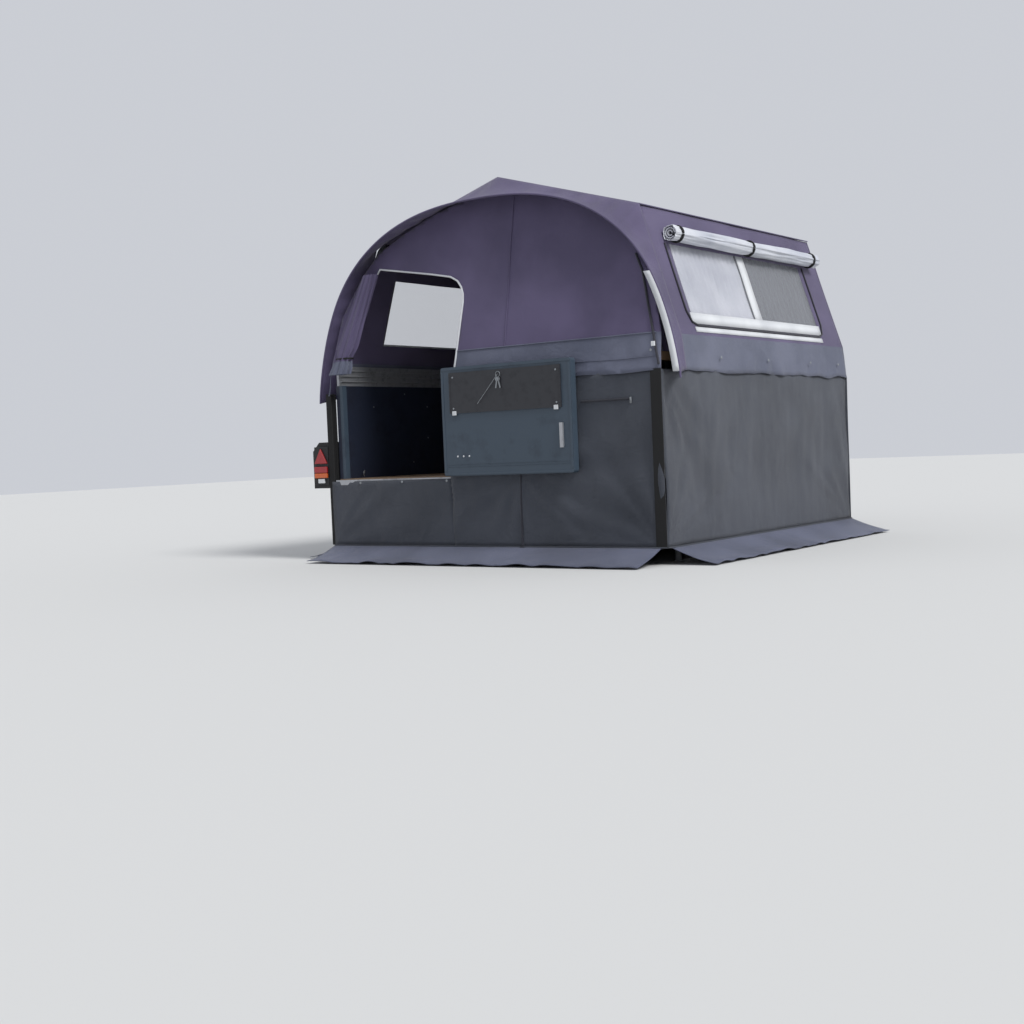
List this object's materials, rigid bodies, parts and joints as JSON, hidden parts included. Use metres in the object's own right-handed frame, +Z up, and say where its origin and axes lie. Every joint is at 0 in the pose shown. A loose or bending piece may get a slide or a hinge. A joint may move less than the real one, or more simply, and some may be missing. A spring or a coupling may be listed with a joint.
{
  "type": "folding tent trailer",
  "caption": "Pitched folding tent trailer: low box with hinged rear door, fold-out bed base, ridge-roof canvas with hood, side windows, skirts and ground flaps.",
  "frame": {"origin": "on the ground under the centre of the outline", "axes": "+Y towards the drawbar, +X the side the bed folds out to, +Z up"},
  "size_m": [3.11, 3.99, 2.393],
  "materials": {
    "purple_canvas": "matte",
    "blue_grey_skirt": "satin",
    "ground_flap_cloth": "satin",
    "black_webbing": "matte",
    "window_film": "gloss",
    "curtain_cloth": "matte",
    "blind_cloth": "satin",
    "blue_panel": "satin",
    "plywood": "matte",
    "door_board_plastic": "matte",
    "aluminium": "satin",
    "steel_tube": "satin",
    "black_steel": "satin",
    "lamp_red": "gloss",
    "rubber": "matte",
    "wheel_paint": "satin",
    "galvanised_steel": "satin"
  },
  "bodies": {
    "trailer": {"axle_beam": "galvanised_steel", "bed_base": "plywood", "bed_hinge": "aluminium", "bow_left": "steel_tube", "bow_ridge": "steel_tube", "bow_right": "steel_tube", "box_floor": "plywood", "box_wall_front": "blue_panel", "box_wall_left": "blue_panel", "box_wall_right": "blue_panel", "chassis_rails": "galvanised_steel", "corner_strips": "black_webbing", "coupling_head": "galvanised_steel", "coupling_lever": "galvanised_steel", "coupling_plate": "galvanised_steel", "cross_members": "galvanised_steel", "curtains": "curtain_cloth", "door_flap_roll": "purple_canvas", "drawbar_arms": "galvanised_steel", "frame_hinges": "galvanised_steel", "front_canvas": "purple_canvas", "ground_flaps": "ground_flap_cloth", "jockey_clamp": "galvanised_steel", "jockey_tube": "galvanised_steel", "lamp_brackets": "black_steel", "leg_pins": "galvanised_steel", "mudguards": "black_steel", "rear_canvas": "purple_canvas", "rear_frame": "blue_panel", "rear_hood": "purple_canvas", "rear_sill": "aluminium", "rim_rails": "aluminium", "rolled_blinds": "blind_cloth", "roof_left": "purple_canvas", "roof_right": "purple_canvas", "side_canvas_left": "purple_canvas", "side_canvas_right": "purple_canvas", "skirt_front": "blue_grey_skirt", "skirt_left": "blue_grey_skirt", "skirt_rear": "blue_grey_skirt", "skirt_right": "blue_grey_skirt", "swing_arms": "galvanised_steel", "tail_lamps": "lamp_red", "window_panes": "window_film"},
    "rear_door": {"rear_door": "blue_panel", "door_board": "door_board_plastic", "door_handle": "aluminium", "door_knuckles": "galvanised_steel"},
    "wheel_left": {"tyre_left": "rubber", "rim_left": "wheel_paint"},
    "wheel_right": {"tyre_right": "rubber", "rim_right": "wheel_paint"},
    "jockey_swivel": {"jockey_fork": "galvanised_steel"},
    "jockey_roller": {"jockey_wheel": "rubber"},
    "steady_rear_left": {"steady_rear_left": "galvanised_steel"},
    "steady_rear_right": {"steady_rear_right": "galvanised_steel"},
    "steady_front_left": {"steady_front_left": "galvanised_steel"},
    "steady_front_right": {"steady_front_right": "galvanised_steel"},
    "bed_leg_rear": {"bed_leg_rear": "galvanised_steel"},
    "bed_leg_front": {"bed_leg_front": "galvanised_steel"}
  },
  "joints": [
    {"name": "rear_door_hinge", "type": "hinge", "parent": "trailer", "child": "rear_door", "pos_m": [-0.265, -1.727, 0.9], "axis": [0, 0, 1], "range_deg": [-180, 0]},
    {"name": "wheel_left_spin", "type": "hinge", "parent": "trailer", "child": "wheel_left", "pos_m": [-1.3575, -0.515, 0.275], "axis": [1, 0, 0], "continuous": true},
    {"name": "wheel_right_spin", "type": "hinge", "parent": "trailer", "child": "wheel_right", "pos_m": [0.1375, -0.515, 0.275], "axis": [1, 0, 0], "continuous": true},
    {"name": "jockey_swivel_turn", "type": "hinge", "parent": "trailer", "child": "jockey_swivel", "pos_m": [-0.39241, 1.575, 0.29], "axis": [0, 0, 1], "continuous": true},
    {"name": "jockey_roll", "type": "hinge", "parent": "jockey_swivel", "child": "jockey_roller", "pos_m": [-0.39241, 1.54, 0.1], "axis": [1, 0, 0], "continuous": true},
    {"name": "bed_leg_rear_fold", "type": "hinge", "parent": "trailer", "child": "bed_leg_rear", "pos_m": [1.1775, -1.425, 1.11], "axis": [1, 0, 0], "range_deg": [0, 90]},
    {"name": "bed_leg_front_fold", "type": "hinge", "parent": "trailer", "child": "bed_leg_front", "pos_m": [1.0675, 0.625, 1.11], "axis": [1, 0, 0], "range_deg": [-90, 0]},
    {"name": "steady_rear_left_fold", "type": "hinge", "parent": "trailer", "child": "steady_rear_left", "pos_m": [-1.0975, -1.465, 0.46], "axis": [1, 0, 0], "range_deg": [0, 90]},
    {"name": "steady_rear_right_fold", "type": "hinge", "parent": "trailer", "child": "steady_rear_right", "pos_m": [-0.1225, -1.465, 0.46], "axis": [1, 0, 0], "range_deg": [0, 90]},
    {"name": "steady_front_left_fold", "type": "hinge", "parent": "trailer", "child": "steady_front_left", "pos_m": [-1.0975, 0.665, 0.46], "axis": [1, 0, 0], "range_deg": [-90, 0]},
    {"name": "steady_front_right_fold", "type": "hinge", "parent": "trailer", "child": "steady_front_right", "pos_m": [-0.1225, 0.665, 0.46], "axis": [1, 0, 0], "range_deg": [-90, 0]}
  ]
}
